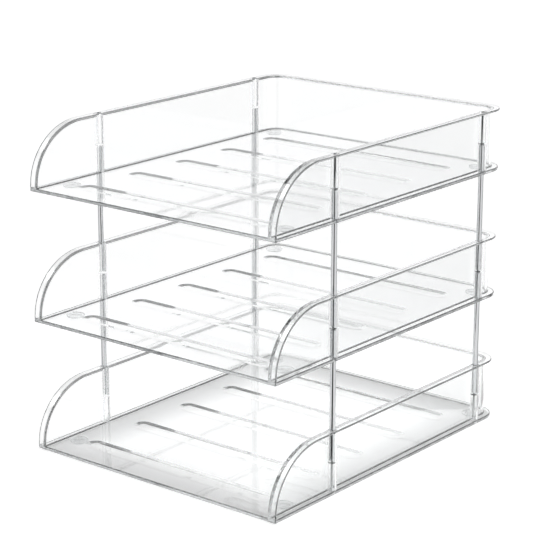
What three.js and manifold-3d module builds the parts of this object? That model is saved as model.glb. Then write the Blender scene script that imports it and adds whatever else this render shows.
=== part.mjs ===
// Three-tier letter tray: three clear trays standing on each other by eight polished rods.
// Millimetres, +Z up. Origin: centre of the footprint, on the surface the tray stands on.
// The open front of every tier faces -Y.

import * as THREE from 'three';
import { mergeVertices } from 'three/addons/utils/BufferGeometryUtils.js';
import Module from 'manifold-3d';

const wasm = await Module();
wasm.setup();

// ---- Driving dimensions -------------------------------------------------

const TIERS = ['bottom', 'middle', 'top'];
const TIER_PITCH = 107;

const TRAY_WIDTH = 246;
const TRAY_DEPTH = 304;
const TRAY_HEIGHT = 51;
const FLOOR_THICKNESS = 2.8;
const WALL_THICKNESS = 2;
const RIM_THICKNESS = 1.6;
const FLANGE_WIDTH = 5.5; // rim and floor stand out past the wall by this much
const REAR_CORNER_RADIUS = 20;

// The side walls sweep down to the floor at the front along a quarter ellipse.
const SWEEP_LENGTH = 52;
const SWEEP_HEIGHT = 47;

// Four upright sleeves in each tray's side walls hold the rods.
const SLEEVE_DIAMETER = 8;
const SLEEVE_BORE = 5.2;
const SLEEVE_STOP = 2; // solid web halfway up, where a rod from either side ends
const SLEEVE_INSET = 4.2; // sleeve centre to the flange's outer edge
const FRONT_SLEEVE_SETBACK = 74; // sleeve centre to the floor's front edge
const REAR_SLEEVE_SETBACK = 33; // sleeve centre to the floor's rear edge
const BORE_MOUTH = 0.4; // flare of the bore's mouth

const ROD_DIAMETER = 4.6;
const ROD_CHAMFER = 0.4;
const CLEARANCE = 0.3;

const FOOT_DIAMETER = 14.4;
const FOOT_DISH_DIAMETER = 9.6;
const FOOT_DISH_DEPTH = 0.5;
const FOOT_EDGE = 0.4;
const FOOT_DROP = 1.2; // the foot's part below the floor
const FOOT_POCKET_DEPTH = 0.9;
const FOOT_SIDE_INSET = 17;
const FRONT_FOOT_SETBACK = 29.5;
const REAR_FOOT_SETBACK = 20;

// Shallow troughs cross the floor at an even pitch, the first in line with the front feet.
const TROUGHS = 5;
const TROUGH_PITCH = 57;
const TROUGH_WIDTH = 17;
const TROUGH_DEPTH = 0.6;
const TROUGH_SLOPE = 5;
const TROUGH_SIDE_INSET = 27;

const CORNER_SEGMENTS = 6;
const SWEEP_SEGMENTS = 12;
const ROUND_SEGMENTS = 16;
const OVERSHOOT = 5; // how far a cutting shape passes the solid it cuts

// ---- Places worked out from them ----------------------------------------

const HALF_WIDTH = TRAY_WIDTH / 2;
const HALF_DEPTH = TRAY_DEPTH / 2;
const INNER_INSET = FLANGE_WIDTH + WALL_THICKNESS;
const STOP_BOTTOM = (TRAY_HEIGHT - SLEEVE_STOP) / 2;
const STOP_TOP = STOP_BOTTOM + SLEEVE_STOP;
const ROD_LENGTH = TIER_PITCH - SLEEVE_STOP - 2 * CLEARANCE;

const ENDS = [
  { name: 'front', sleeveY: FRONT_SLEEVE_SETBACK - HALF_DEPTH, footY: FRONT_FOOT_SETBACK - HALF_DEPTH },
  { name: 'rear', sleeveY: HALF_DEPTH - REAR_SLEEVE_SETBACK, footY: HALF_DEPTH - REAR_FOOT_SETBACK },
];
const SIDES = [
  { name: 'left', sign: -1 },
  { name: 'right', sign: 1 },
];

// Calls make(label, sleeve centre, foot centre) once for each corner.
function atCorners(make) {
  return ENDS.flatMap((end) => SIDES.map((side) => make(
    `${end.name}_${side.name}`,
    new THREE.Vector2(side.sign * (HALF_WIDTH - SLEEVE_INSET), end.sleeveY),
    new THREE.Vector2(side.sign * (HALF_WIDTH - FOOT_SIDE_INSET), end.footY),
  )));
}

// ---- Solids and booleans ------------------------------------------------

function solid(geometry) {
  const plain = geometry.clone();
  plain.deleteAttribute('normal');
  plain.deleteAttribute('uv');
  const merged = mergeVertices(plain);
  const corners = [];
  for (let i = 0; i < merged.index.count; i += 3) {
    const [a, b, c] = [0, 1, 2].map((k) => merged.index.getX(i + k));
    if (a !== b && b !== c && c !== a) corners.push(a, b, c);
  }
  return new wasm.Manifold(new wasm.Mesh({
    numProp: 3,
    vertProperties: merged.attributes.position.array,
    triVerts: new Uint32Array(corners),
  }));
}

function geometryOf(manifold) {
  const { vertProperties, triVerts } = manifold.getMesh();
  const geometry = new THREE.BufferGeometry();
  geometry.setAttribute('position', new THREE.BufferAttribute(vertProperties, 3));
  geometry.setIndex(new THREE.BufferAttribute(triVerts, 1));
  geometry.computeVertexNormals();
  return geometry;
}

function prism(shape, bottom, top, segments) {
  const geometry = new THREE.ExtrudeGeometry(shape, {
    depth: top - bottom, bevelEnabled: false, curveSegments: segments,
  });
  return solid(geometry.translate(0, 0, bottom));
}

// A shape drawn with Y to its right and Z up, extruded across the tray's width.
function crossPrism(shape) {
  const reach = HALF_WIDTH + OVERSHOOT;
  const geometry = new THREE.ExtrudeGeometry(shape, {
    depth: 2 * reach, bevelEnabled: false, curveSegments: SWEEP_SEGMENTS,
  });
  const turn = new THREE.Matrix4().makeBasis(
    new THREE.Vector3(0, 1, 0),
    new THREE.Vector3(0, 0, 1),
    new THREE.Vector3(1, 0, 0),
  );
  return solid(geometry.applyMatrix4(turn).translate(-reach, 0, 0));
}

// A body of revolution about Z from [radius, height] pairs, listed upwards from the axis.
function turned(profile) {
  const points = profile.map(([radius, height]) => new THREE.Vector2(radius, height));
  return solid(new THREE.LatheGeometry(points, ROUND_SEGMENTS).rotateX(Math.PI / 2));
}

// ---- Outlines -----------------------------------------------------------

// The tray's plan outline drawn in by inset: square at the front, round at the rear corners.
function planOutline(inset, front) {
  const side = HALF_WIDTH - inset;
  const rear = HALF_DEPTH - inset;
  const radius = REAR_CORNER_RADIUS - inset;
  const shape = new THREE.Shape();
  shape.moveTo(-side, front);
  shape.lineTo(side, front);
  shape.absarc(side - radius, rear - radius, radius, 0, Math.PI / 2);
  shape.absarc(radius - side, rear - radius, radius, Math.PI / 2, Math.PI);
  return shape;
}

// The side view of the walls, drawn in by inset from the front and the top.
function sideOutline(inset) {
  const top = TRAY_HEIGHT - inset;
  const bottom = FLOOR_THICKNESS / 2 - inset;
  const sweepY = SWEEP_LENGTH - HALF_DEPTH;
  const sweepZ = TRAY_HEIGHT - SWEEP_HEIGHT;
  const shape = new THREE.Shape();
  shape.moveTo(HALF_DEPTH + OVERSHOOT, top);
  shape.lineTo(sweepY, top);
  shape.absellipse(
    sweepY, sweepZ, SWEEP_LENGTH - inset, SWEEP_HEIGHT - inset, Math.PI / 2, Math.PI,
  );
  shape.lineTo(inset - HALF_DEPTH, bottom);
  shape.lineTo(HALF_DEPTH + OVERSHOOT, bottom);
  return shape;
}

// ---- One tray, its underside at Z = 0 -----------------------------------

function trayWalls() {
  const upright = (inset) => prism(
    planOutline(inset, -HALF_DEPTH - OVERSHOOT), -OVERSHOOT, TRAY_HEIGHT + OVERSHOOT, CORNER_SEGMENTS,
  );
  const inside = upright(INNER_INSET);
  const sideView = crossPrism(sideOutline(0));
  const rimBand = sideView.subtract(crossPrism(sideOutline(RIM_THICKNESS)));
  const walls = upright(FLANGE_WIDTH).subtract(inside).intersect(sideView);
  const rim = upright(0).subtract(inside).intersect(rimBand);
  return walls.add(rim);
}

function sleeve(centre) {
  return turned([
    [0, 0],
    [SLEEVE_DIAMETER / 2, 0],
    [SLEEVE_DIAMETER / 2, TRAY_HEIGHT],
    [0, TRAY_HEIGHT],
  ]).translate([centre.x, centre.y, 0]);
}

// The two blind bores of a sleeve, each flared at its mouth.
function sleeveBores(centre) {
  const radius = SLEEVE_BORE / 2;
  const mouth = radius + BORE_MOUTH;
  const flare = OVERSHOOT + BORE_MOUTH;
  const lower = turned([
    [0, -OVERSHOOT],
    [radius + flare, -OVERSHOOT],
    [mouth, 0],
    [radius, BORE_MOUTH],
    [radius, STOP_BOTTOM],
    [0, STOP_BOTTOM],
  ]);
  const upper = turned([
    [0, STOP_TOP],
    [radius, STOP_TOP],
    [radius, TRAY_HEIGHT - BORE_MOUTH],
    [mouth, TRAY_HEIGHT],
    [radius + flare, TRAY_HEIGHT + OVERSHOOT],
    [0, TRAY_HEIGHT + OVERSHOOT],
  ]);
  return lower.add(upper).translate([centre.x, centre.y, 0]);
}

function footPocket(centre) {
  const radius = FOOT_DIAMETER / 2 + CLEARANCE;
  return turned([
    [0, -OVERSHOOT],
    [radius, -OVERSHOOT],
    [radius, FOOT_POCKET_DEPTH],
    [0, FOOT_POCKET_DEPTH],
  ]).translate([centre.x, centre.y, 0]);
}

// The trough in the floor's upper face: a round-ended bar with sloped sides.
function trough(y) {
  const radius = TROUGH_WIDTH / 2;
  const reach = HALF_WIDTH - TROUGH_SIDE_INSET - radius;
  const bed = new THREE.Shape();
  bed.absarc(reach, y, radius - TROUGH_SLOPE, -Math.PI / 2, Math.PI / 2);
  bed.absarc(-reach, y, radius - TROUGH_SLOPE, Math.PI / 2, 1.5 * Math.PI);
  const geometry = new THREE.ExtrudeGeometry(bed, {
    depth: TROUGH_DEPTH,
    bevelEnabled: true,
    bevelSegments: 1,
    bevelThickness: TROUGH_DEPTH,
    bevelSize: TROUGH_SLOPE,
    curveSegments: CORNER_SEGMENTS,
  });
  return solid(geometry.translate(0, 0, FLOOR_THICKNESS));
}

function trayManifold() {
  const floor = prism(planOutline(0, -HALF_DEPTH), 0, FLOOR_THICKNESS, CORNER_SEGMENTS);
  let tray = floor.add(trayWalls());
  for (let i = 0; i < TROUGHS; i += 1) {
    tray = tray.subtract(trough(FRONT_FOOT_SETBACK - HALF_DEPTH + i * TROUGH_PITCH));
  }
  atCorners((label, sleeveAt) => {
    tray = tray.add(sleeve(sleeveAt));
  });
  atCorners((label, sleeveAt, footAt) => {
    tray = tray.subtract(sleeveBores(sleeveAt)).subtract(footPocket(footAt));
  });
  return tray;
}

// ---- Rods and feet ------------------------------------------------------

function rodGeometry() {
  const radius = ROD_DIAMETER / 2;
  return geometryOf(turned([
    [0, 0],
    [radius - ROD_CHAMFER, 0],
    [radius, ROD_CHAMFER],
    [radius, ROD_LENGTH - ROD_CHAMFER],
    [radius - ROD_CHAMFER, ROD_LENGTH],
    [0, ROD_LENGTH],
  ]));
}

// A dished round pad; its top sits in the pocket under the floor.
function footGeometry() {
  const radius = FOOT_DIAMETER / 2;
  const height = FOOT_DROP + FOOT_POCKET_DEPTH - CLEARANCE;
  return geometryOf(turned([
    [0, FOOT_DISH_DEPTH],
    [FOOT_DISH_DIAMETER / 2 - FOOT_DISH_DEPTH, FOOT_DISH_DEPTH],
    [FOOT_DISH_DIAMETER / 2, 0],
    [radius - FOOT_EDGE, 0],
    [radius, FOOT_EDGE],
    [radius, height],
    [0, height],
  ]));
}

// ---- Assembly -----------------------------------------------------------

function clearPlastic() {
  return new THREE.MeshStandardMaterial({
    color: 0xdfe6e8, roughness: 0.08, metalness: 0, transparent: true, opacity: 0.35,
  });
}

function polishedSteel() {
  return new THREE.MeshStandardMaterial({ color: 0xc9cdd0, roughness: 0.15, metalness: 1 });
}

function clearSilicone() {
  return new THREE.MeshStandardMaterial({
    color: 0xd8dcdc, roughness: 0.45, metalness: 0, transparent: true, opacity: 0.6,
  });
}

function placed(name, geometry, material, x, y, z) {
  const mesh = new THREE.Mesh(geometry, material);
  mesh.name = name;
  mesh.position.set(x, y, z);
  return mesh;
}

const letterTray = new THREE.Group();
const trayGeometry = geometryOf(trayManifold());

TIERS.forEach((tier, level) => {
  const underside = FOOT_DROP + level * TIER_PITCH;
  letterTray.add(placed(`${tier}_tray`, trayGeometry, clearPlastic(), 0, 0, underside));
  atCorners((corner, sleeveAt, footAt) => {
    const footZ = underside - FOOT_DROP;
    letterTray.add(placed(
      `${tier}_foot_${corner}`, footGeometry(), clearSilicone(), footAt.x, footAt.y, footZ,
    ));
  });
});

['lower', 'upper'].forEach((storey, level) => {
  const rodZ = FOOT_DROP + level * TIER_PITCH + STOP_TOP + CLEARANCE;
  atCorners((corner, sleeveAt) => {
    letterTray.add(placed(
      `${storey}_rod_${corner}`, rodGeometry(), polishedSteel(), sleeveAt.x, sleeveAt.y, rodZ,
    ));
  });
});

export default letterTray;
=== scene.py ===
"""Looks of a three-tier clear letter tray: moulded trays, polished rods and soft round feet."""
import math

import bmesh
import bpy
from mathutils import Matrix, Vector


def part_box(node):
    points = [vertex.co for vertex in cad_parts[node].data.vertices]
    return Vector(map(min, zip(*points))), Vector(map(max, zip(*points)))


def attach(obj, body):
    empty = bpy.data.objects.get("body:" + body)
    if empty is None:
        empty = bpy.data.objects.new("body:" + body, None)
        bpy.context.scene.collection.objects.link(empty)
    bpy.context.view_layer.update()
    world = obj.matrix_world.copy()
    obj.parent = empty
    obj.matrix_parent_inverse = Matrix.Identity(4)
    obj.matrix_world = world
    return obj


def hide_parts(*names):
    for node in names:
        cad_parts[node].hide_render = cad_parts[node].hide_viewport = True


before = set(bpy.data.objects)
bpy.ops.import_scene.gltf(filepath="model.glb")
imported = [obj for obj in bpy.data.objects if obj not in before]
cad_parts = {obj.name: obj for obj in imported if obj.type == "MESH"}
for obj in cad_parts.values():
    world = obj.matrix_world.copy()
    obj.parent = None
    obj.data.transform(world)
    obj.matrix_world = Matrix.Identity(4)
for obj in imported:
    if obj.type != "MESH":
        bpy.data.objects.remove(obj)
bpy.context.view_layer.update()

MM = 0.001

# ---- Sizes of the moulding that the frame's boxes don't give, in metres ----

FLOOR = 2.8 * MM
WALL = 2.0 * MM
RIM = 1.6 * MM
FLANGE = 5.5 * MM
REAR_RADIUS = 20.0 * MM
SWEEP_LENGTH = 52.0 * MM
SWEEP_HEIGHT = 47.0 * MM
SLEEVE_RADIUS = 4.0 * MM
BORE_RADIUS = 2.6 * MM
BORE_FLARE = 0.4 * MM
STOP = 1.2 * MM
POCKET_GAP = 0.3 * MM
POCKET_DEPTH = 0.9 * MM
TROUGHS = 5
TROUGH_PITCH = 57.0 * MM
TROUGH_WIDTH = 17.0 * MM
TROUGH_DEPTH = 0.55 * MM
TROUGH_SLOPE = 5.0 * MM
TROUGH_SLOPE_PARTS = (0, 0.1, 0.9, 1)  # short end parts keep the shading of the slope between them
TROUGH_SIDE_INSET = 27.0 * MM
EDGE_RADIUS = 0.7 * MM
PAST = 5.0 * MM  # how far a cutter passes the solid it cuts

CORNER_STEPS = 20
SWEEP_STEPS = 40
ROUND_STEPS = 48
EDGE_STEPS = 3
END_STEPS = 4
DISH_STEPS = 8

SHARP_ANGLE = math.radians(35)  # sharper edges are rounded, and stay sharp when shaded
FLAT_ANGLE = math.radians(0.3)
WELD_DISTANCE = 0.002 * MM

TIERS = ("bottom", "middle", "top")
STOREYS = ("lower", "upper")
CORNERS = ("front_left", "front_right", "rear_left", "rear_right")

# ---- Places taken from the frame ------------------------------------------

tray_low, tray_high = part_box("bottom_tray")
HALF_WIDTH = tray_high.x
HALF_DEPTH = tray_high.y
HEIGHT = tray_high.z - tray_low.z


def middle_of(node):
    low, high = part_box(node)
    return (low + high) / 2


SLEEVE_CENTRES = [middle_of(f"lower_rod_{corner}") for corner in CORNERS]
FOOT_CENTRES = [middle_of(f"bottom_foot_{corner}") for corner in CORNERS]
foot_low, foot_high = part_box("bottom_foot_front_left")
FOOT_RADIUS = (foot_high.x - foot_low.x) / 2


# ---- Mesh helpers -----------------------------------------------------------

def arc(cx, cy, rx, ry, start, end, steps):
    """Points along an ellipse arc from start to end, in degrees."""
    points = []
    for i in range(steps + 1):
        angle = math.radians(start + (end - start) * i / steps)
        points.append((cx + rx * math.cos(angle), cy + ry * math.sin(angle)))
    return points


def to_mesh(name, bm):
    bmesh.ops.recalc_face_normals(bm, faces=bm.faces)
    mesh = bpy.data.meshes.new(name)
    bm.to_mesh(mesh)
    bm.free()
    return mesh


def prism(name, outline, low, high, place):
    """A closed prism: place(u, v, w) puts outline point (u, v) at height w."""
    bm = bmesh.new()
    ends = [[bm.verts.new(place(u, v, w)) for u, v in outline] for w in (low, high)]
    bm.faces.new(ends[0])
    bm.faces.new(ends[1])
    count = len(outline)
    for i in range(count):
        j = (i + 1) % count
        bm.faces.new((ends[0][i], ends[0][j], ends[1][j], ends[1][i]))
    return to_mesh(name, bm)


def upright(name, outline, low, high):
    return prism(name, outline, low, high, lambda u, v, w: Vector((u, v, w)))


def crosswise(name, outline, half):
    return prism(name, outline, -half, half, lambda u, v, w: Vector((w, u, v)))


def turned(name, profile, steps=ROUND_STEPS):
    """A closed body of revolution about Z from (radius, height) pairs, axis to axis."""
    bm = bmesh.new()
    rings = []
    for radius, height in profile:
        if radius == 0:
            rings.append([bm.verts.new((0, 0, height))] * steps)
            continue
        ring = []
        for i in range(steps):
            angle = 2 * math.pi * i / steps
            ring.append(bm.verts.new((radius * math.cos(angle), radius * math.sin(angle), height)))
        rings.append(ring)
    for lower, upper in zip(rings, rings[1:]):
        for i in range(steps):
            j = (i + 1) % steps
            corners = []
            for vert in (lower[i], lower[j], upper[j], upper[i]):
                if vert not in corners:
                    corners.append(vert)
            bm.faces.new(corners)
    return to_mesh(name, bm)


def joined(name, meshes_at):
    """One mesh from (mesh, place) pairs that don't touch each other."""
    bm = bmesh.new()
    for mesh, place in meshes_at:
        part = mesh.copy()
        part.transform(Matrix.Translation(place))
        bm.from_mesh(part)
        bpy.data.meshes.remove(part)
    mesh = bpy.data.meshes.new(name)
    bm.to_mesh(mesh)
    bm.free()
    return mesh


def with_modifier(mesh, kind, settings):
    """The mesh after one modifier."""
    holder = bpy.data.objects.new("holder", mesh)
    bpy.context.scene.collection.objects.link(holder)
    modifier = holder.modifiers.new(kind.lower(), kind)
    for key, value in settings.items():
        setattr(modifier, key, value)
    depsgraph = bpy.context.evaluated_depsgraph_get()
    result = bpy.data.meshes.new_from_object(holder.evaluated_get(depsgraph))
    bpy.data.objects.remove(holder)
    return result


def boolean(mesh, other, operation):
    cutter = bpy.data.objects.new("cutter", other)
    bpy.context.scene.collection.objects.link(cutter)
    result = with_modifier(
        mesh, "BOOLEAN", {"operation": operation, "solver": "EXACT", "object": cutter}
    )
    bpy.data.objects.remove(cutter)
    return result


def tidied(mesh):
    """Flat neighbours become one face, so that only real edges are left to round."""
    bm = bmesh.new()
    bm.from_mesh(mesh)
    bmesh.ops.remove_doubles(bm, verts=bm.verts, dist=WELD_DISTANCE)
    bmesh.ops.dissolve_limit(bm, angle_limit=FLAT_ANGLE, verts=bm.verts, edges=bm.edges)
    bm.to_mesh(mesh)
    bm.free()
    return mesh


def rounded(mesh, radius):
    """The mesh with rounded edges, which take its second material, the plastic with painted shade.
    """
    return with_modifier(mesh, "BEVEL", {
        "width": radius, "segments": EDGE_STEPS, "limit_method": "ANGLE",
        "angle_limit": SHARP_ANGLE, "miter_outer": "MITER_ARC", "material": 1,
    })


def finished(mesh):
    """Smooth shading that keeps the flats flat."""
    mesh.shade_smooth()
    mesh.set_sharp_from_angle(angle=SHARP_ANGLE)
    return with_modifier(mesh, "WEIGHTED_NORMAL", {"weight": 100, "keep_sharp": True})


# ---- The moulded tray, its underside at Z = 0 ---------------------------------

def plan_line(inset, front):
    """The plan outline from front left round the rear to front right, drawn in by inset."""
    side = HALF_WIDTH - inset
    rear = HALF_DEPTH - inset
    radius = REAR_RADIUS - inset
    left = arc(radius - side, rear - radius, radius, radius, 180, 90, CORNER_STEPS)
    right = arc(side - radius, rear - radius, radius, radius, 90, 0, CORNER_STEPS)
    return [(-side, front)] + left + right + [(side, front)]


def side_line(inset, bottom):
    """The side view of the walls, in Y and Z, drawn in by inset at the front and the top."""
    sweep_y = SWEEP_LENGTH - HALF_DEPTH
    sweep_z = HEIGHT - SWEEP_HEIGHT
    sweep = arc(
        sweep_y, sweep_z, SWEEP_LENGTH - inset, SWEEP_HEIGHT - inset, 90, 180, SWEEP_STEPS
    )
    behind = HALF_DEPTH + PAST
    return [(behind, HEIGHT - inset)] + sweep + [(inset - HALF_DEPTH, bottom), (behind, bottom)]


def shell_mesh():
    """Floor, walls and rim, cut from one block: its inside, then the channel under the rim."""
    reach = HALF_WIDTH + PAST
    front = -HALF_DEPTH - PAST
    top = HEIGHT + PAST
    block = upright("block", plan_line(0, front), 0, top)
    block = boolean(block, crosswise("side", side_line(0, -PAST), reach), "INTERSECT")
    inside = upright("inside", plan_line(FLANGE + WALL, front), FLOOR, top)
    block = boolean(block, inside, "DIFFERENCE")
    outline = plan_line(FLANGE, front)
    around = plan_line(-PAST, front)
    channel = upright("channel", around + outline[::-1], FLOOR, top)
    below_rim = crosswise("below_rim", side_line(RIM, -PAST), reach + PAST)
    channel = boolean(channel, below_rim, "INTERSECT")
    return boolean(block, channel, "DIFFERENCE")


def sleeve():
    """A post with rounded ends, as tall as the tray."""
    edge = arc(SLEEVE_RADIUS - EDGE_RADIUS, 0, EDGE_RADIUS, EDGE_RADIUS, -90, 0, EDGE_STEPS)
    foot = [(x, y + EDGE_RADIUS) for x, y in edge]
    head = [(x, HEIGHT - EDGE_RADIUS - y) for x, y in edge[::-1]]
    return turned("sleeve", [(0, 0)] + foot + head + [(0, HEIGHT)])


def bores():
    """The two blind bores of a sleeve."""
    stop = (HEIGHT - STOP) / 2
    mouth = BORE_RADIUS + BORE_FLARE
    lip = arc(mouth, BORE_FLARE, BORE_FLARE, BORE_FLARE, -90, -180, END_STEPS)
    lower = [(0, -PAST), (mouth, -PAST)] + lip + [(BORE_RADIUS, stop), (0, stop)]
    upper = [(radius, HEIGHT - height) for radius, height in lower]
    return [turned("lower_bore", lower), turned("upper_bore", upper)]


def foot_pocket():
    radius = FOOT_RADIUS + POCKET_GAP
    profile = [(0, -PAST), (radius, -PAST), (radius, POCKET_DEPTH), (0, POCKET_DEPTH)]
    return turned("pocket", profile)


def trough():
    """The cutter for a shallow round-ended trough with sloped sides across the floor."""
    half = TROUGH_WIDTH / 2
    reach = HALF_WIDTH - TROUGH_SIDE_INSET - half
    section = [(half, FLOOR + PAST)]
    for part in TROUGH_SLOPE_PARTS:
        section.insert(0, (half - part * TROUGH_SLOPE, FLOOR - part * TROUGH_DEPTH))
    bm = bmesh.new()
    rings = []
    for radius, height in section:
        right = arc(reach, 0, radius, radius, -90, 90, CORNER_STEPS)
        left = arc(-reach, 0, radius, radius, 90, 270, CORNER_STEPS)
        rings.append([bm.verts.new((x, y, height)) for x, y in right + left])
    count = len(rings[0])
    for lower, upper in zip(rings, rings[1:]):
        for i in range(count):
            j = (i + 1) % count
            bm.faces.new((lower[i], lower[j], upper[j], upper[i]))
    bm.faces.new(rings[0])
    bm.faces.new(rings[-1])
    return to_mesh("trough", bm)


def tray_mesh(face_material, painted_shade_edge_material):
    """One whole tray; only the shell's edges are rounded, so the sleeves keep crisp joints."""
    shell = tidied(shell_mesh())
    shell.materials.clear()
    shell.materials.append(face_material)
    shell.materials.append(painted_shade_edge_material)
    shell = rounded(shell, EDGE_RADIUS)
    sleeve_places = [Vector((centre.x, centre.y, 0)) for centre in SLEEVE_CENTRES]
    foot_places = [Vector((centre.x, centre.y, 0)) for centre in FOOT_CENTRES]
    post, pocket, bar = sleeve(), foot_pocket(), trough()
    sleeves = joined("sleeves", [(post, place) for place in sleeve_places])
    shell = boolean(shell, sleeves, "UNION")
    cuts = [(bore, place) for bore in bores() for place in sleeve_places]
    cuts += [(pocket, place) for place in foot_places]
    first = min(place.y for place in foot_places)
    cuts += [(bar, Vector((0, first + i * TROUGH_PITCH, 0))) for i in range(TROUGHS)]
    shell = boolean(shell, joined("cuts", cuts), "DIFFERENCE")
    return finished(shell)


# ---- Rods and feet ----------------------------------------------------------

ROD_END_RADIUS = 0.5 * MM
FOOT_DISH_RADIUS = 4.8 * MM
FOOT_DISH_DEPTH = 0.5 * MM
FOOT_EDGE_RADIUS = 0.4 * MM


def rod_mesh(radius, length):
    end = ROD_END_RADIUS
    edge = arc(radius - end, end, end, end, -90, 0, END_STEPS)
    other = [(x, length - y) for x, y in edge[::-1]]
    return finished(turned("rod", [(0, 0)] + edge + other + [(0, length)]))


def foot_mesh(height):
    """A round pad with a dish below and a shallow round recess on top."""
    edge = FOOT_EDGE_RADIUS
    dish = arc(0, 0, FOOT_DISH_RADIUS, FOOT_DISH_DEPTH, 90, 0, DISH_STEPS)
    lip = arc(FOOT_RADIUS - edge, edge, edge, edge, -90, 0, END_STEPS)
    top = arc(FOOT_RADIUS - edge, height - edge, edge, edge, 0, 90, END_STEPS)
    ring = [(FOOT_DISH_RADIUS, height), (FOOT_DISH_RADIUS - edge, height - edge)]
    profile = [(0, FOOT_DISH_DEPTH)] + dish[1:] + lip + top + ring + [(0, height - edge)]
    return finished(turned("foot", profile))


# ---- Shader helpers ---------------------------------------------------------

NOISE_LOW = 0.3
NOISE_HIGH = 0.7


def new_material(name):
    material = bpy.data.materials.new(name)
    material.use_nodes = True
    nodes = material.node_tree.nodes
    return material, nodes, material.node_tree.links, nodes["Principled BSDF"]


def noise(nodes, links, scale, detail, stretch=(1, 1, 1)):
    """Noise in the piece's own space, in waves per metre, stretched along an axis."""
    place = nodes.new("ShaderNodeTexCoord")
    mapping = nodes.new("ShaderNodeMapping")
    mapping.inputs["Scale"].default_value = stretch
    texture = nodes.new("ShaderNodeTexNoise")
    texture.inputs["Scale"].default_value = scale
    texture.inputs["Detail"].default_value = detail
    links.new(place.outputs["Object"], mapping.inputs["Vector"])
    links.new(mapping.outputs["Vector"], texture.inputs["Vector"])
    return texture.outputs["Fac"]


def spread(nodes, links, source, low, high):
    """Noise mapped to low..high by the middle of its range."""
    ranged = nodes.new("ShaderNodeMapRange")
    ranged.inputs["From Min"].default_value = NOISE_LOW
    ranged.inputs["From Max"].default_value = NOISE_HIGH
    ranged.inputs["To Min"].default_value = low
    ranged.inputs["To Max"].default_value = high
    links.new(source, ranged.inputs["Value"])
    return ranged.outputs["Result"]


def bump(nodes, links, height, strength, distance):
    node = nodes.new("ShaderNodeBump")
    node.inputs["Strength"].default_value = strength
    node.inputs["Distance"].default_value = distance
    links.new(height, node.inputs["Height"])
    return node.outputs["Normal"]


def object_axes(nodes, links):
    """The piece's own coordinates, as separate X, Y and Z."""
    place = nodes.new("ShaderNodeTexCoord")
    split = nodes.new("ShaderNodeSeparateXYZ")
    links.new(place.outputs["Object"], split.inputs["Vector"])
    return split.outputs


def maths(nodes, links, operation, *values):
    """A maths node on sockets or numbers."""
    node = nodes.new("ShaderNodeMath")
    node.operation = operation
    for socket, value in zip(node.inputs, values):
        if isinstance(value, (int, float)):
            socket.default_value = value
        else:
            links.new(value, socket)
    return node.outputs["Value"]


def smooth(nodes, links, source, start, end, low, high):
    """Smooth step of the source from start to end, going from low to high."""
    step = nodes.new("ShaderNodeMapRange")
    step.interpolation_type = "SMOOTHSTEP"
    for name, value in (("From Min", start), ("From Max", end), ("To Min", low), ("To Max", high)):
        step.inputs[name].default_value = value
    links.new(source, step.inputs["Value"])
    return step.outputs["Result"]


# ---- Materials --------------------------------------------------------------

PLASTIC_TINT = (0.985, 0.99, 0.99)
PLASTIC_SHADOW_TINT = (0.99, 0.992, 0.992)
PLASTIC_DEPTH_TINT = (0.62, 0.67, 0.68)
PLASTIC_DEPTH_DENSITY = 1.2
PLASTIC_IOR = 1.57
HAZE_WAVES = 38  # waves per metre, here and below
HAZE_ROUGHNESS = (0.004, 0.03)
FLOW_WAVES = 14
FLOW_STRETCH = (1, 0.45, 1)
FLOW_STRENGTH = 0.12
FLOW_DEPTH = 0.4 * MM

# Painted shade on rounded edges, as a factor on the plastic's tint that stands in for the dark
# lines refraction draws along them: at the floor, in the walls, and the factor along the sides.
LOW_EDGE_PAINTED_SHADE_LEVEL = 0.55
HIGH_EDGE_PAINTED_SHADE_LEVEL = 0.8
SIDE_EDGE_PAINTED_SHADE_FACTOR = 0.4

STEEL_TINT = (0.60, 0.61, 0.62)
STEEL_ROUGHNESS = (0.04, 0.1)
PATCH_WAVES = 60
PATCH_STRETCH = (1, 1, 0.4)
DRAWN_WAVES = 900
DRAWN_STRETCH = (1, 1, 0.02)
DRAWN_STRENGTH = 0.15
DRAWN_DEPTH = 0.05 * MM

SILICONE_TINT = (0.86, 0.875, 0.88)
SILICONE_TRANSMISSION = 0.92
SILICONE_IOR = 1.41
SILICONE_ROUGHNESS = (0.06, 0.14)
SKIN_WAVES = 1400
SKIN_STRENGTH = 0.3
SKIN_DEPTH = 0.05 * MM


def clear_plastic(name):
    """Polished clear polystyrene: faint flow waves and a little handling haze."""
    material, nodes, links, shader = new_material(name)
    shader.inputs["Base Color"].default_value = (*PLASTIC_TINT, 1)
    shader.inputs["Transmission Weight"].default_value = 1.0
    shader.inputs["IOR"].default_value = PLASTIC_IOR
    haze = spread(nodes, links, noise(nodes, links, HAZE_WAVES, detail=4), *HAZE_ROUGHNESS)
    links.new(haze, shader.inputs["Roughness"])
    waves = noise(nodes, links, FLOW_WAVES, detail=1, stretch=FLOW_STRETCH)
    links.new(bump(nodes, links, waves, FLOW_STRENGTH, FLOW_DEPTH), shader.inputs["Normal"])
    lamps = nodes.new("ShaderNodeBsdfTransparent")
    lamps.inputs["Color"].default_value = (*PLASTIC_SHADOW_TINT, 1)
    path = nodes.new("ShaderNodeLightPath")
    mix = nodes.new("ShaderNodeMixShader")
    output = nodes["Material Output"]
    links.new(path.outputs["Is Shadow Ray"], mix.inputs["Fac"])
    links.new(shader.outputs["BSDF"], mix.inputs[1])
    links.new(lamps.outputs["BSDF"], mix.inputs[2])
    links.new(mix.outputs["Shader"], output.inputs["Surface"])
    depth = nodes.new("ShaderNodeVolumeAbsorption")
    depth.inputs["Color"].default_value = (*PLASTIC_DEPTH_TINT, 1)
    depth.inputs["Density"].default_value = PLASTIC_DEPTH_DENSITY
    links.new(depth.outputs["Volume"], output.inputs["Volume"])
    return material


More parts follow.
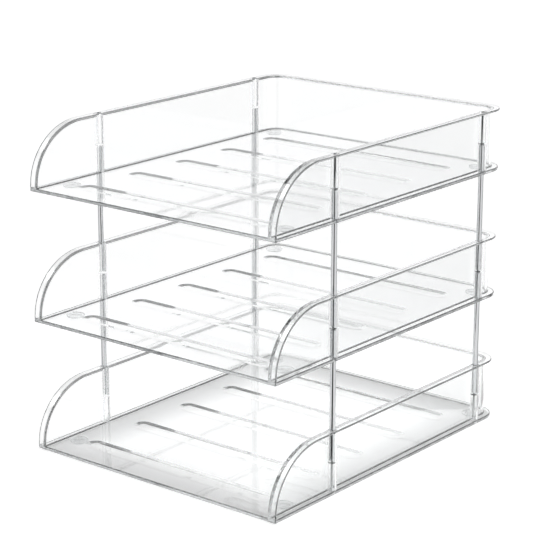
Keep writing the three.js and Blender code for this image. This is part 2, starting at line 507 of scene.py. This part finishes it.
def clear_plastic_edge_painted_shade():
    """The same plastic on rounded edges with painted shade: a darker tint, most of all low down
    and along the sides.
    """
    material = clear_plastic("clear_plastic_edge_painted_shade")
    nodes, links = material.node_tree.nodes, material.node_tree.links
    axes = object_axes(nodes, links)
    # Painted shade: the edge tint darkens towards the tray's floor and along its sides.
    painted_shade_level = smooth(nodes, links, axes["Z"], FLOOR, 3 * FLOOR, LOW_EDGE_PAINTED_SHADE_LEVEL, HIGH_EDGE_PAINTED_SHADE_LEVEL)
    aside = maths(nodes, links, "ABSOLUTE", axes["X"])
    inner = HALF_WIDTH - 2 * FLANGE
    along = smooth(nodes, links, aside, inner, inner + FLANGE / 2, 1, SIDE_EDGE_PAINTED_SHADE_FACTOR)
    painted_shade_tint = nodes.new("ShaderNodeVectorMath")
    painted_shade_tint.operation = "SCALE"
    painted_shade_tint.inputs["Vector"].default_value = PLASTIC_TINT
    links.new(maths(nodes, links, "MULTIPLY", painted_shade_level, along), painted_shade_tint.inputs["Scale"])
    links.new(painted_shade_tint.outputs["Vector"], nodes["Principled BSDF"].inputs["Base Color"])
    return material


def polished_steel():
    """Bright plated rod with fine drawing lines along it."""
    material, nodes, links, shader = new_material("polished_steel")
    shader.inputs["Base Color"].default_value = (*STEEL_TINT, 1)
    shader.inputs["Metallic"].default_value = 1.0
    lines = noise(nodes, links, DRAWN_WAVES, detail=3, stretch=DRAWN_STRETCH)
    patches = noise(nodes, links, PATCH_WAVES, detail=2, stretch=PATCH_STRETCH)
    links.new(spread(nodes, links, patches, *STEEL_ROUGHNESS), shader.inputs["Roughness"])
    links.new(bump(nodes, links, lines, DRAWN_STRENGTH, DRAWN_DEPTH), shader.inputs["Normal"])
    return material


def clear_silicone():
    """Soft clear rubber with a slightly hazy, finely pebbled skin."""
    material, nodes, links, shader = new_material("clear_silicone")
    shader.inputs["Base Color"].default_value = (*SILICONE_TINT, 1)
    shader.inputs["Transmission Weight"].default_value = SILICONE_TRANSMISSION
    shader.inputs["IOR"].default_value = SILICONE_IOR
    skin = noise(nodes, links, SKIN_WAVES, detail=2)
    links.new(spread(nodes, links, skin, *SILICONE_ROUGHNESS), shader.inputs["Roughness"])
    links.new(bump(nodes, links, skin, SKIN_STRENGTH, SKIN_DEPTH), shader.inputs["Normal"])
    return material


# ---- Pieces -------------------------------------------------------------------

def show(name, mesh, material, place, body, node):
    """Puts a piece in place of a frame node; with no material the mesh keeps its own."""
    if material:
        mesh.materials.clear()
        mesh.materials.append(material)
    piece = bpy.data.objects.new(name, mesh)
    piece.location = place
    bpy.context.scene.collection.objects.link(piece)
    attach(piece, body)
    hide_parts(node)
    return piece


def build_object():
    steel, silicone = polished_steel(), clear_silicone()
    tray = tray_mesh(clear_plastic("clear_plastic"), clear_plastic_edge_painted_shade())
    foot = foot_mesh(foot_high.z - foot_low.z)
    rod_low, rod_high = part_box("lower_rod_front_left")
    rod = rod_mesh((rod_high.x - rod_low.x) / 2, rod_high.z - rod_low.z)
    for tier in TIERS:
        body = f"{tier}_tier"
        node = f"{tier}_tray"
        low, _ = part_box(node)
        show(f"{node}_moulding", tray, None, (0, 0, low.z), body, node)
        for corner in CORNERS:
            node = f"{tier}_foot_{corner}"
            low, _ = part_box(node)
            centre = middle_of(node)
            place = (centre.x, centre.y, low.z)
            show(f"{node}_pad", foot, silicone, place, body, node)
    for storey in STOREYS:
        for corner in CORNERS:
            node = f"{storey}_rod_{corner}"
            low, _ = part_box(node)
            centre = middle_of(node)
            place = (centre.x, centre.y, low.z)
            show(f"{node}_bar", rod, steel, place, f"{storey}_rods", node)


# ---- Studio materials -------------------------------------------------------

# The soft contact shade on the floor, a little inside the tray's footprint.
SHADE_INSET = 0.001
SHADE_EDGE = 0.002
SHADE_CORNER = 0.018
SHADE_FADE = 0.06
SHADE_DEPTH = 0.55
SHADE_MIDDLE = 0.15
FLOOR_WHITE = 0.9
FLOOR_GLOW = 0.56
FLOOR_ROUGHNESS = (0.75, 0.85)
FLOOR_WAVES = 6

FLAG_CORE = 0.16  # half width over distance, of a flag's even part and of the whole
FLAG_EDGE = 0.42
FLAG_MOTTLE = 0.04
FLAG_WAVES = 3


def footprint_distance(nodes, links):
    """Metres outside the tray's footprint, round at its rear corners; negative inside it."""
    axes = object_axes(nodes, links)
    y = axes["Y"]
    aside = maths(nodes, links, "ABSOLUTE", axes["X"])
    aside = maths(nodes, links, "SUBTRACT", aside, HALF_WIDTH - SHADE_CORNER)
    behind = maths(nodes, links, "SUBTRACT", y, HALF_DEPTH - SHADE_CORNER)
    past_x = maths(nodes, links, "MAXIMUM", aside, 0)
    past_y = maths(nodes, links, "MAXIMUM", behind, 0)
    squares = maths(nodes, links, "MULTIPLY", past_x, past_x)
    squares = maths(nodes, links, "MULTIPLY_ADD", past_y, past_y, squares)
    outside = maths(nodes, links, "SQRT", squares)
    inside = maths(nodes, links, "MINIMUM", maths(nodes, links, "MAXIMUM", aside, behind), 0)
    distance = maths(nodes, links, "ADD", outside, inside)
    distance = maths(nodes, links, "SUBTRACT", distance, SHADE_CORNER)
    ahead = maths(nodes, links, "MULTIPLY_ADD", y, -1, -HALF_DEPTH)
    return maths(nodes, links, "MAXIMUM", distance, ahead)


def floor_paint():
    """Seamless white studio sweep with a soft contact shade under the lowest tray."""
    material, nodes, links, shader = new_material("studio_floor")
    distance = footprint_distance(nodes, links)
    edge = smooth(nodes, links, distance, -SHADE_INSET - SHADE_EDGE, -SHADE_INSET, SHADE_DEPTH, 0)
    inner = smooth(nodes, links, distance, -SHADE_FADE, 0, SHADE_MIDDLE / SHADE_DEPTH, 1)
    level = maths(nodes, links, "SUBTRACT", 1, maths(nodes, links, "MULTIPLY", edge, inner))
    shader.inputs["Specular IOR Level"].default_value = 0.0
    links.new(maths(nodes, links, "MULTIPLY", level, FLOOR_WHITE), shader.inputs["Base Color"])
    glow = maths(nodes, links, "MULTIPLY", level, FLOOR_GLOW)
    links.new(glow, shader.inputs["Emission Strength"])
    shader.inputs["Emission Color"].default_value = (1, 1, 1, 1)
    grain = spread(nodes, links, noise(nodes, links, FLOOR_WAVES, detail=3), *FLOOR_ROUGHNESS)
    links.new(grain, shader.inputs["Roughness"])
    return material


def mirrored_only(nodes, links):
    """1 for rays that have been mirrored on their way, 0 for the rest."""
    path = nodes.new("ShaderNodeLightPath")
    return maths(nodes, links, "GREATER_THAN", path.outputs["Glossy Depth"], 0.5)


def flag_paint(name, level):
    """A flag that only reflections see, fading out towards its sides."""
    material, nodes, links, shader = new_material(name)
    nodes.remove(shader)
    grey = nodes.new("ShaderNodeEmission")
    patches = noise(nodes, links, FLAG_WAVES, detail=2)
    mottle = spread(nodes, links, patches, level, level + FLAG_MOTTLE)
    links.new(mottle, grey.inputs["Color"])
    axes = object_axes(nodes, links)
    aside = maths(nodes, links, "ABSOLUTE", axes["Y"])
    turn = maths(nodes, links, "DIVIDE", aside, axes["X"])
    shape = smooth(nodes, links, turn, FLAG_CORE, FLAG_EDGE, 1, 0)
    clear = nodes.new("ShaderNodeBsdfTransparent")
    mix = nodes.new("ShaderNodeMixShader")
    amount = maths(nodes, links, "MULTIPLY", shape, mirrored_only(nodes, links))
    links.new(amount, mix.inputs["Fac"])
    links.new(clear.outputs["BSDF"], mix.inputs[1])
    links.new(grey.outputs["Emission"], mix.inputs[2])
    links.new(mix.outputs["Shader"], nodes["Material Output"].inputs["Surface"])
    return material


# ---- Studio -------------------------------------------------------------------

AZIMUTH = math.radians(38.95)
ELEVATION = math.radians(15.97)
DISTANCE = 1.585
LENS = 131.7
AIM_HEIGHT = 0.1312
AIM_RIGHT = -0.0065
AIM_UP = 0.0107

# Height of a ray's direction, and the brightness there: for the eye, and in reflections.
SEEN_SKY = ((0.25, 1.0), (0.45, 0.06))
MIRRORED_SKY = ((0.36, 0.98), (0.55, 0.05))

# Name, azimuth, elevation and spread in degrees, strength.
SUNS = (("key_light", -60, 55, 30, 0.9), ("fill_light", 100, 65, 40, 0.5))

# Name, azimuth in degrees, brightness, height.
FLAGS = (("front", 39, 0.03, 1.0), ("right", 137, 0.5, 0.0), ("left", 317, 0.65, 0.0))
FLAG_NEAR = 0.2
FLAG_FAR = 1.7
FLAG_LEAN = 0.001
FLAG_LIFT = 0.3 * MM  # of the first flag off the floor, and more for each of the others
FLAG_LIFT_STEP = 0.1 * MM

FLOOR_RADIUS = 14
FLOOR_SIDES = 96
GLASS_BOUNCES = 64
CLEAR_BOUNCES = 40
SENSOR_WIDTH = 36
BLUE_TRACE = 1.01


def sky_ramp(nodes, links, height, stops):
    """Brightness between two heights, a trace bluer than grey."""
    ramp = nodes.new("ShaderNodeValToRGB")
    elements = ramp.color_ramp.elements
    for element, (position, level) in zip(elements, stops):
        element.position = position
        element.color = (level, level, level * BLUE_TRACE, 1)
    links.new(height, ramp.inputs["Fac"])
    return ramp.outputs["Color"]


def studio_world():
    """White round the horizon and dark overhead; reflections see a greyer room."""
    world = bpy.data.worlds.new("studio")
    bpy.context.scene.world = world
    world.use_nodes = True
    nodes, links = world.node_tree.nodes, world.node_tree.links
    place = nodes.new("ShaderNodeTexCoord")
    split = nodes.new("ShaderNodeSeparateXYZ")
    links.new(place.outputs["Generated"], split.inputs["Vector"])
    seen = sky_ramp(nodes, links, split.outputs["Z"], SEEN_SKY)
    mirrored = sky_ramp(nodes, links, split.outputs["Z"], MIRRORED_SKY)
    mix = nodes.new("ShaderNodeMixRGB")
    links.new(mirrored_only(nodes, links), mix.inputs["Fac"])
    links.new(seen, mix.inputs["Color1"])
    links.new(mirrored, mix.inputs["Color2"])
    links.new(mix.outputs["Color"], nodes["Background"].inputs["Color"])
    nodes["Background"].inputs["Strength"].default_value = 1.0


def studio_sun(name, azimuth, elevation, spread_angle, strength):
    light = bpy.data.lights.new(name, "SUN")
    light.angle = math.radians(spread_angle)
    light.energy = strength
    lamp = bpy.data.objects.new(name, light)
    a, e = math.radians(azimuth), math.radians(elevation)
    source = Vector((math.sin(a) * math.cos(e), -math.cos(a) * math.cos(e), math.sin(e)))
    lamp.rotation_mode = "QUATERNION"
    lamp.rotation_quaternion = (-source).to_track_quat("-Z", "Y")
    bpy.context.scene.collection.objects.link(lamp)


def studio_flags():
    """Flags lying and standing round the object, seen only in its reflections."""
    for index, (name, azimuth, level, tall) in enumerate(FLAGS):
        bm = bmesh.new()
        rows = []
        for reach, height in ((FLAG_NEAR, 0), (FLAG_FAR, 0), (FLAG_FAR + FLAG_LEAN, tall)):
            aside = FLAG_EDGE * reach
            rows.append([bm.verts.new((reach, y, height)) for y in (-aside, aside)])
        for near, far in zip(rows, rows[1:]):
            bm.faces.new((near[0], near[1], far[1], far[0]))
        shape = to_mesh(f"studio_flag_{name}", bm)
        shape.materials.append(flag_paint(f"studio_flag_{name}", level))
        flag = bpy.data.objects.new(f"studio_flag_{name}", shape)
        flag.location.z = FLAG_LIFT + index * FLAG_LIFT_STEP
        flag.rotation_euler.z = math.radians(azimuth - 90)
        for kind in ("camera", "diffuse", "shadow", "volume_scatter"):
            setattr(flag, f"visible_{kind}", False)
        bpy.context.scene.collection.objects.link(flag)


def studio_floor():
    bm = bmesh.new()
    bmesh.ops.create_circle(bm, cap_ends=True, radius=FLOOR_RADIUS, segments=FLOOR_SIDES)
    floor = bpy.data.objects.new("studio_floor", to_mesh("studio_floor", bm))
    floor.data.materials.append(floor_paint())
    bpy.context.scene.collection.objects.link(floor)


def studio_camera():
    right = Vector((math.cos(AZIMUTH), math.sin(AZIMUTH), 0))
    back = Vector((
        math.sin(AZIMUTH) * math.cos(ELEVATION),
        -math.cos(AZIMUTH) * math.cos(ELEVATION),
        math.sin(ELEVATION),
    ))
    up = back.cross(right)
    aim = Vector((0, 0, AIM_HEIGHT)) + right * AIM_RIGHT + up * AIM_UP
    lens = bpy.data.cameras.new("camera")
    lens.lens = LENS
    lens.sensor_width = SENSOR_WIDTH
    camera = bpy.data.objects.new("camera", lens)
    camera.location = aim + back * DISTANCE
    camera.rotation_mode = "QUATERNION"
    camera.rotation_quaternion = (-back).to_track_quat("-Z", "Y")
    bpy.context.scene.collection.objects.link(camera)
    bpy.context.scene.camera = camera


def build_studio():
    studio_world()
    studio_floor()
    studio_flags()
    for sun in SUNS:
        studio_sun(*sun)
    studio_camera()
    scene = bpy.context.scene
    scene.view_settings.view_transform = "Standard"
    scene.cycles.max_bounces = GLASS_BOUNCES
    scene.cycles.transmission_bounces = GLASS_BOUNCES
    scene.cycles.glossy_bounces = GLASS_BOUNCES
    scene.cycles.transparent_max_bounces = CLEAR_BOUNCES


build_object()
build_studio()
